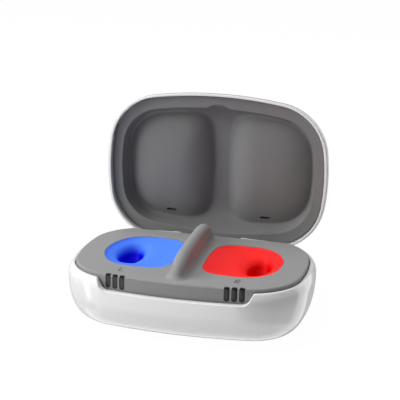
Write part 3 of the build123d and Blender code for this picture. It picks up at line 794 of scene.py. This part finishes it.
def makeLidLiner():
    size = lidLiner
    columns = ringColumns(size["columns"])
    outer, inner = size["bulgeOuter"], size["bulgeInner"]
    tables = [(1, gaugeTable(outer, inner)), (-1, gaugeTable(inner, outer))]
    band, thickness = size["bandRise"], size["thickness"]
    depth = size["recessRise"] - band
    steps, rows = size["wallRows"], size["floorRows"]

    def flatRing(ring, rise):
        return [(x, y, rimZ + rise) for x, y in ring]

    def formedRing(ring, recess, over=0.0, scale=1.0):
        # lays a ring, drawn in by a scale, on the form of the recess and its bulges
        places = [(x * scale, y * scale) for x, y in ring]
        return [(x, y, rimZ + linerRise(x, y, recess, tables) + over) for x, y in places]

    edge = ovalRing(grownSize(caseOval, size["edgeOffset"], size["edgeOffset"]), columns)
    front = [flatRing(edge, band + size["bandLip"]), flatRing(edge, band)]
    for share in size["bandRows"]:
        sized = grownSize(caseOval, size["edgeOffset"] - size["bandSide"] * share,
                          size["edgeOffset"] - size["bandFace"] * share)
        front.append(flatRing(withBump(ovalRing(sized, columns), share), band))
    edgeRow = len(front)
    for i in range(steps + 1):
        share, ring = recessRing(i / steps, columns)
        front.append(formedRing(ring, band + share * depth))
    floor = recessRing(1.0, columns)[1]
    front += [formedRing(floor, size["recessRise"], 0.0, 1 - i / rows) for i in range(1, rows)]
    back = []
    for i in range(0, steps + 1, 2):
        share, ring = recessRing(i / steps, columns, thickness)
        recess = band + size["bandLip"] if i == 0 else band + share * depth
        back.append(formedRing(ring, recess, thickness * share))
    floor = recessRing(1.0, columns, thickness)[1]
    back += [formedRing(floor, size["recessRise"], thickness, 1 - i / rows) for i in range(2, rows, 2)]
    rings = [[openLid(point) for point in ring] for ring in back[::-1] + front]
    liner = ringMesh("lidLiner", rings, (len(back) + 1, len(back) + edgeRow), size["bandEdge"])
    low, high = size["ventCut"]
    cutters = [prismMesh("vent", ventOutline(side), rimZ + low, rimZ + high, openLid) for side in (-1, 1)]
    half = caseSize["hingeHalf"]
    cutters.append(blockMesh("hingeSpace", (-half, size["hingeFront"], rimZ),
                             (half, beyond, beyond), openLid))
    cutOut(liner, cutters)
    smoothByAngle(liner, degrees=50)
    return liner


finishPiece(makeLidLiner(), "lid", "linerAbs", ["lid_liner"])

# coloured inserts: a shallow bowl that runs out towards the fin, with a long deep dip at the outer side
wellInsert = {
    "place": (21.6, 0.15),
    "outer": (17.7, 19.9, 34.0, 26.0, 13.8),  # half width, half depth, face, side and corner radius
    "inner": (15.4, 19.9, 60.0, 120.0, 8.7),
    "top": 27.0,
    "plateLow": 25.1,
    "plateInner": 1.5,
    "gap": 0.12,
    "edge": 0.2,
    "wall": 1.2,
    "flange": 1.8,
    "dip": (29.0, 2.2),
    "dipSide": 1.6,
    "dipCorner": 0.8,
    # drop, share of the way from the opening's outline to the dip's, and half width and depth of the dip
    "rows": [(0.0, 0.02, 5.1, 10.8), (0.4, 0.1, 5.1, 10.8), (0.8, 0.24, 5.1, 10.8), (1.2, 0.42, 5.1, 10.8),
             (1.6, 0.6, 5.1, 10.8), (2.1, 0.76, 5.1, 10.8), (2.9, 0.89, 5.1, 10.8), (4.1, 0.97, 5.1, 10.4),
             (5.6, 1.0, 5.0, 9.6), (7.6, 1.0, 4.8, 8.3), (9.6, 1.0, 4.5, 6.7), (11.6, 1.0, 3.8, 4.9),
             (13.0, 1.0, 2.7, 3.2), (13.2, 1.0, 1.8, 2.2)],
    "columns": (16, 22, 16),
    "outerRows": 65,
    "innerRows": 26,
    "edgeRows": 4,
    "rowGap": 0.2,
}


def wellRing(side, grow, share, halfX, halfY, columns):
    # outline between the well's opening, at share 0, and the dip's oval, at share 1
    size = wellInsert
    share = min(share, 1.0)
    dip = (halfX, halfY, halfX, halfY * size["dipSide"], halfX * size["dipCorner"])
    halves = []
    for parts in (size["outer"], size["inner"]):
        start = grownSize(parts, grow * (1 - share), grow * (1 - share))
        halves.append([a + (b - a) * share for a, b in zip(start, dip)])
    x, y = (a + (b - a) * share for a, b in zip(size["place"], size["dip"]))
    if side < 0:
        halves.reverse()
    return ovalRing(halves[0], columns, halves[1], (side * x, y))


def makeInsert(name, side):
    size = wellInsert
    columns = ringColumns(size["columns"])
    gap, top, low = size["gap"], size["top"], size["plateLow"]
    wall, edge, flange = size["wall"], size["edge"], size["flange"]
    mouth = size["rows"][0][2:]

    def level(grow, z):
        # the opening's outline at one height
        return [(x, y, z) for x, y in wellRing(side, grow, 0.0, *mouth, columns)]

    rings = []
    for i in range(size["innerRows"], -1, -1):
        # underside, from the dip's floor up to the plate
        drop, share, halfX, halfY = between(size["rows"], i / size["innerRows"])
        if drop > top - low + size["rowGap"]:
            ring = wellRing(side, wall - gap, share, halfX + wall, halfY + wall, columns)
            rings.append([(x, y, top - drop - wall) for x, y in ring])
    rings += [level(-gap - size["plateInner"], low - wall), level(flange, low - wall),
              level(flange, low), level(-gap, low)]
    for k in range(size["edgeRows"] + 1):
        angle = math.pi / 2 * k / size["edgeRows"]
        rings.append(level(-gap - edge * (1 - math.cos(angle)), top - edge + edge * math.sin(angle)))
    for i in range(1, size["outerRows"] + 1):
        drop, share, halfX, halfY = between(size["rows"], i / size["outerRows"])
        ring = wellRing(side, -gap - edge, share, halfX, halfY, columns)
        rings.append([(x, y, top - drop) for x, y in ring])
    insert = ringMesh(name, rings)
    smoothByAngle(insert, degrees=50)
    return insert


finishPiece(makeInsert("leftInsert", -1), "base", "blueInsert", ["left_insert"])
finishPiece(makeInsert("rightInsert", 1), "base", "redInsert", ["right_insert"])

# light windows: narrow strips that run over the deck's front edge, three for each side
lightWindow = {
    "middle": 25.2,
    "pitch": 3.1,
    "count": 3,
    "width": 2.2,
    "recess": 0.18,
    "edgeRadius": 0.8,
    "drop": 4.3,
    "reach": 1.75,
    "frontOffset": -0.3,
    "thickness": 1.1,
    "crown": 0.06,  # how far the strip's sides fall back
    "tip": 0.06,  # square of the share of its width that its ends keep
    "faceRows": 12,
    "edgeRows": 6,
    "acrossSteps": 4,
}


def windowPath():
    # places up the front, round the edge and in over the top, each with the way that it faces
    size = lightWindow
    top, front = caseSize["deckTop"] - size["recess"], size["recess"]
    radius = size["edgeRadius"] - size["recess"]
    low = rimZ - size["drop"]
    rows, turns = size["faceRows"], size["edgeRows"]
    path = [((front, low + (top - radius - low) * i / rows), (-1.0, 0.0)) for i in range(rows)]
    for i in range(turns + 1):
        angle = math.pi / 2 * i / turns
        path.append(((front + radius - radius * math.cos(angle), top - radius + radius * math.sin(angle)),
                     (-math.cos(angle), math.sin(angle))))
    rest = size["reach"] - front - radius
    path += [((front + radius + rest * i / turns, top), (0.0, 1.0)) for i in range(1, turns + 1)]
    return path


def windowStrip():
    # one window at x = 0, its front measured from the deck's own front face
    size = lightWindow
    path = windowPath()
    places = [place for place, outward in path]
    lengths = [0.0]
    for here, ahead in zip(places, places[1:]):
        lengths.append(lengths[-1] + math.dist(here, ahead))
    half, steps, deep = size["width"] / 2, size["acrossSteps"], size["thickness"]
    work = bmesh.new()
    rows = []
    for ((y, z), (ny, nz)), along in zip(path, lengths):
        near = min(along, lengths[-1] - along)
        width = half * math.sqrt(max(size["tip"], 1 - max(0.0, 1 - near / half) ** 2))
        row = []
        for k in range(-steps, steps + 1):
            fall = size["crown"] * (k / steps) ** 2
            row.append((width * k / steps, y - ny * fall, z - nz * fall))
        row += [(width * k, y - ny * deep, z - nz * deep) for k in (1, 0, -1)]
        rows.append([work.verts.new([v * mm for v in point]) for point in row])
    bridgeRows(work, rows)
    work.faces.new(rows[0])
    work.faces.new(rows[-1])
    bmesh.ops.recalc_face_normals(work, faces=work.faces)
    for face in work.faces:
        face.smooth = True
    return linkMesh("windowStrip", work)


def windowTree(material):
    # copies one strip along X and lets each copy follow the deck's front arc
    tree = bpy.data.node_groups.new("windowRow", "GeometryNodeTree")
    names = {}
    for label, kind in (("Strip", "Object"), ("Count", "Int"), ("First X", "Float"), ("Pitch", "Float"),
                        ("Arc Radius", "Float"), ("Arc Centre", "Float")):
        socket = tree.interface.new_socket(label, in_out="INPUT", socket_type="NodeSocket" + kind)
        names[label] = socket.identifier
    tree.interface.new_socket("Geometry", in_out="OUTPUT", socket_type="NodeSocketGeometry")
    given = addNode(tree, "NodeGroupInput")
    strip = addNode(tree, "GeometryNodeObjectInfo", inputs={"Object": given.outputs["Strip"]})
    start = addNode(tree, "ShaderNodeCombineXYZ", inputs={"X": given.outputs["First X"]})
    step = addNode(tree, "ShaderNodeCombineXYZ", inputs={"X": given.outputs["Pitch"]})
    line = addNode(tree, "GeometryNodeMeshLine", inputs={"Count": given.outputs["Count"],
                   "Start Location": start.outputs[0], "Offset": step.outputs[0]})
    copies = addNode(tree, "GeometryNodeInstanceOnPoints", inputs={"Points": line.outputs["Mesh"],
                     "Instance": strip.outputs["Geometry"]})
    real = addNode(tree, "GeometryNodeRealizeInstances", inputs={"Geometry": copies.outputs["Instances"]})
    # the arc's own Y at each X: its centre less the root of radius squared less X squared
    place = addNode(tree, "GeometryNodeInputPosition")
    x = addNode(tree, "ShaderNodeSeparateXYZ", inputs={0: place.outputs[0]}).outputs["X"]
    radius = given.outputs["Arc Radius"]
    across = addNode(tree, "ShaderNodeMath", {"operation": "MULTIPLY"}, {0: x, 1: x})
    square = addNode(tree, "ShaderNodeMath", {"operation": "MULTIPLY"}, {0: radius, 1: radius})
    rest = addNode(tree, "ShaderNodeMath", {"operation": "SUBTRACT"},
                   {0: square.outputs[0], 1: across.outputs[0]})
    root = addNode(tree, "ShaderNodeMath", {"operation": "SQRT"}, {0: rest.outputs[0]})
    shift = addNode(tree, "ShaderNodeMath", {"operation": "SUBTRACT"},
                    {0: given.outputs["Arc Centre"], 1: root.outputs[0]})
    offset = addNode(tree, "ShaderNodeCombineXYZ", inputs={"Y": shift.outputs[0]})
    bent = addNode(tree, "GeometryNodeSetPosition", inputs={"Geometry": real.outputs[0],
                   "Offset": offset.outputs[0]})
    painted = addNode(tree, "GeometryNodeSetMaterial", inputs={"Geometry": bent.outputs[0],
                      "Material": material})
    addNode(tree, "NodeGroupOutput", inputs={"Geometry": painted.outputs[0]})
    return tree, names


def makeWindows(name, side):
    size = lightWindow
    strip = windowStrip()
    tree, names = windowTree(materials["window"])
    holder = bpy.data.objects.new(name, bpy.data.meshes.new(name))
    bpy.context.scene.collection.objects.link(holder)
    rows = holder.modifiers.new("windows", "NODES")
    rows.node_group = tree
    values = {
        "Strip": strip,
        "Count": size["count"],
        "First X": (side * size["middle"] - size["pitch"] * (size["count"] - 1) / 2) * mm,
        "Pitch": size["pitch"] * mm,
        "Arc Radius": (caseSize["frontRadius"] + size["frontOffset"]) * mm,
        "Arc Centre": (caseSize["frontRadius"] - caseSize["depth"] / 2) * mm,
    }
    for label, value in values.items():
        rows[names[label]] = value
    settle(holder)
    bpy.data.objects.remove(strip)
    return holder


for sideName, side in (("left", -1), ("right", 1)):
    finishPiece(makeWindows(sideName + "Windows", side), "base", "window",
                [sideName + "_light_" + str(number) for number in (1, 2, 3)])

# thin printed side letters on the deck, in front of the wells
sideMark = {
    "height": 3.7,
    "width": 1.8,
    "stroke": 0.38,
    "thickness": 0.03,
    "sunk": 0.3,  # share of the thickness that lies in the deck
    "tilt": -4.0,
    "left": (-25.7, -26.6),
    "right": (23.7, -26.8),
    # strokes, in shares of the letter's width and height
    "stem": [(0, 1), (0, 0.5), (0, 0)],
    "foot": [(0, 0), (0.5, 0), (1, 0)],
    "bowl": [(0.0, 1.0), (0.45, 1.0), (0.8, 0.96), (0.97, 0.86), (1.0, 0.75), (0.97, 0.64), (0.8, 0.54),
             (0.45, 0.5), (0.0, 0.5)],
    "leg": [(0.45, 0.5), (0.72, 0.25), (1, 0)],
}


def makeMark(name, strokes, place):
    size = sideMark
    turn = math.radians(size["tilt"])
    work = bmesh.new()
    for stroke in strokes:
        points = [Vector((x * size["width"], y * size["height"])) for x, y in size[stroke]]
        loops = []
        for i, point in enumerate(points):
            ahead = (points[min(i + 1, len(points) - 1)] - points[max(i - 1, 0)]).normalized()
            across = Vector((-ahead.y, ahead.x)) * size["stroke"] / 2
            corners = []
            for offset, z in ((across, 0.0), (-across, 0.0), (-across, 1.0), (across, 1.0)):
                x, y = point + offset
                corners.append(work.verts.new((
                    (place[0] + x * math.cos(turn) - y * math.sin(turn)) * mm,
                    (place[1] + x * math.sin(turn) + y * math.cos(turn)) * mm,
                    (caseSize["deckTop"] + size["thickness"] * (z - size["sunk"])) * mm)))
            loops.append(corners)
        bridgeRows(work, loops)
        work.faces.new(loops[0])
        work.faces.new(loops[-1])
    bmesh.ops.recalc_face_normals(work, faces=work.faces)
    return linkMesh(name, work)


for sideName, strokes in (("left", ("stem", "foot")), ("right", ("stem", "bowl", "leg"))):
    finishPiece(makeMark(sideName + "Mark", strokes, sideMark[sideName]), "base", "ink", [])

# camera: where the photograph was taken from, worked out from the object's own edges
cameraSize = {"azimuth": 13.476, "elevation": 17.49, "distance": 487.49, "aimHeight": 20.0, "roll": -1.306,
              "sensor": 36.0, "lens": 102.117, "shiftX": 0.01387, "shiftY": 0.03888}


def makeCamera(size):
    az, el, roll = (math.radians(size[key]) for key in ("azimuth", "elevation", "roll"))
    back = Vector((math.sin(az) * math.cos(el), -math.cos(az) * math.cos(el), math.sin(el)))
    right = Vector((math.cos(az), math.sin(az), 0))
    up = back.cross(right)
    turnedRight = right * math.cos(roll) - up * math.sin(roll)
    turnedUp = right * math.sin(roll) + up * math.cos(roll)
    place = Vector((0, 0, (rimZ + size["aimHeight"]) * mm)) + back * size["distance"] * mm
    turn = Matrix((turnedRight, turnedUp, back)).transposed().to_4x4()
    data = bpy.data.cameras.new("camera")
    data.sensor_width = size["sensor"]
    data.lens = size["lens"]
    data.shift_x = size["shiftX"]
    data.shift_y = size["shiftY"]
    camera = bpy.data.objects.new("camera", data)
    camera.matrix_world = Matrix.Translation(place) @ turn
    bpy.context.scene.collection.objects.link(camera)
    bpy.context.scene.camera = camera


makeCamera(cameraSize)

# studio: softboxes in metres and watts, panels that only the gloss mirrors, and a pale floor
studio = {
    "softboxes": {
        "key": {"place": (-0.8, -0.36, 0.5), "width": 0.75, "height": 0.6, "power": 9.0},
        "overhead": {"place": (-0.2, 0.13, 0.94), "width": 0.6, "height": 0.5, "power": 6.5},
        "fill": {"place": (0.9, 0.2, 0.4), "width": 0.3, "height": 0.6, "power": 1.1},
    },
    "aim": (0, 0, 0.03),
    # azimuth in degrees from the front, left negative, and height as the sine of the elevation
    "panels": {
        "front": {"azimuth": (-60, 5), "height": (-0.7, 0.7), "level": 1.9},
        "streak": {"azimuth": (-77, -62), "height": (-0.55, 0.05), "level": 2.2},
        "left": {"azimuth": (-158, -60), "height": (-0.7, 0.6), "level": 0.5},
        "right": {"azimuth": (116, 158), "height": (-0.7, 0.5), "level": 1.2},
        "back": {"azimuth": (158, 200), "height": (-0.7, 0.5), "level": 0.35},
        "low": {"azimuth": (5, 116), "height": (-0.7, -0.42), "level": 0.5},
        "under": {"azimuth": (-200, 200), "height": (-1.2, -0.7), "level": 1.3},
    },
    "softAzimuth": 1.5,
    "softHeight": 0.06,
    "room": 0.19,
    "floorSize": 6.0,
    "floorTint": "#C8C8C8",
    "floorWhite": 0.95,
    "floorGlow": 1.03,
}
white = (1, 1, 1, 1)


def addLamp(name, size):
    data = bpy.data.lights.new(name, "AREA")
    data.shape = "RECTANGLE"
    data.size = size["width"]
    data.size_y = size["height"]
    data.energy = size["power"]
    lamp = bpy.data.objects.new(name, data)
    lamp.location = size["place"]
    lamp.visible_glossy = False
    lamp.rotation_euler = (Vector(studio["aim"]) - Vector(size["place"])).to_track_quat("-Z", "Y").to_euler()
    bpy.context.scene.collection.objects.link(lamp)


def rayShares(tree):
    # 1 for rays that show the background, from the camera or through glass, and 1 for mirrored rays
    path = addNode(tree, "ShaderNodeLightPath")
    seen = addNode(tree, "ShaderNodeMath", {"operation": "MAXIMUM"},
                   {0: path.outputs["Is Camera Ray"], 1: path.outputs["Is Transmission Ray"]})
    return seen.outputs[0], path.outputs["Is Glossy Ray"]


def spanShare(tree, value, low, high, soft):
    # 1 between two values, with soft ends
    ends = []
    for place, first in ((low, 0.0), (high, 1.0)):
        end = addNode(tree, "ShaderNodeMapRange", {"interpolation_type": "SMOOTHSTEP"},
                      {"Value": value, "From Min": place - soft, "From Max": place + soft,
                       "To Min": first, "To Max": 1 - first})
        ends.append(end.outputs["Result"])
    return addNode(tree, "ShaderNodeMath", {"operation": "MULTIPLY"}, {0: ends[0], 1: ends[1]}).outputs[0]


def roomLevel(tree, glossy):
    # light of the room by direction: an even level, and on it what the gloss mirrors of the panels
    way = addNode(tree, "ShaderNodeTexCoord")
    parts = addNode(tree, "ShaderNodeSeparateXYZ", inputs={0: way.outputs["Generated"]})
    front = addNode(tree, "ShaderNodeMath", {"operation": "MULTIPLY"}, {0: parts.outputs["Y"], 1: -1.0})
    angle = addNode(tree, "ShaderNodeMath", {"operation": "ARCTAN2"},
                    {0: parts.outputs["X"], 1: front.outputs[0]})
    degrees = addNode(tree, "ShaderNodeMath", {"operation": "DEGREES"}, {0: angle.outputs[0]})
    total = studio["room"]
    for panel in studio["panels"].values():
        across = spanShare(tree, degrees.outputs[0], *panel["azimuth"], studio["softAzimuth"])
        up = spanShare(tree, parts.outputs["Z"], *panel["height"], studio["softHeight"])
        seen = addNode(tree, "ShaderNodeMath", {"operation": "MULTIPLY"}, {0: up, 1: glossy})
        share = addNode(tree, "ShaderNodeMath", {"operation": "MULTIPLY"}, {0: across, 1: seen.outputs[0]})
        total = addNode(tree, "ShaderNodeMath", {"operation": "MULTIPLY_ADD"},
                        {0: share.outputs[0], 1: panel["level"], 2: total}).outputs[0]
    return total


def makeFloor():
    # pale floor that shows white to the camera, keeps a soft contact shadow and isn't mirrored
    bpy.ops.mesh.primitive_plane_add(size=studio["floorSize"], location=(0, 0, 0))
    floor = bpy.context.object
    floor.name = "floor"
    material, tree, output = newMaterial("paleFloor")
    diffuse = addNode(tree, "ShaderNodeBsdfDiffuse", inputs={"Color": toLinear(studio["floorTint"])})
    glow = addNode(tree, "ShaderNodeEmission", inputs={"Color": white, "Strength": studio["floorGlow"]})
    background, glossy = rayShares(tree)
    seen = addNode(tree, "ShaderNodeMath", {"operation": "MULTIPLY"},
                   {0: background, 1: studio["floorWhite"]})
    mixed = addNode(tree, "ShaderNodeMixShader", inputs={0: seen.outputs[0],
                    1: diffuse.outputs[0], 2: glow.outputs[0]})
    clear = addNode(tree, "ShaderNodeBsdfTransparent")
    shown = addNode(tree, "ShaderNodeMixShader", inputs={0: glossy, 1: mixed.outputs[0],
                    2: clear.outputs[0]})
    tree.links.new(shown.outputs[0], output.inputs["Surface"])
    floor.data.materials.append(material)


def makeRoom():
    # white to the camera, and the room's own level to everything else
    world = bpy.data.worlds.new("studio")
    bpy.context.scene.world = world
    world.use_nodes = True
    tree = world.node_tree
    tree.nodes.clear()
    output = tree.nodes.new("ShaderNodeOutputWorld")
    background, glossy = rayShares(tree)
    room = addNode(tree, "ShaderNodeBackground", inputs={"Color": white,
                   "Strength": roomLevel(tree, glossy)})
    plain = addNode(tree, "ShaderNodeBackground", inputs={"Color": white, "Strength": 1.0})
    mixed = addNode(tree, "ShaderNodeMixShader", inputs={0: background, 1: room.outputs[0],
                    2: plain.outputs[0]})
    tree.links.new(mixed.outputs[0], output.inputs["Surface"])


makeFloor()
makeRoom()
for name, size in studio["softboxes"].items():
    addLamp(name + "Softbox", size)
print("camera and light placed")
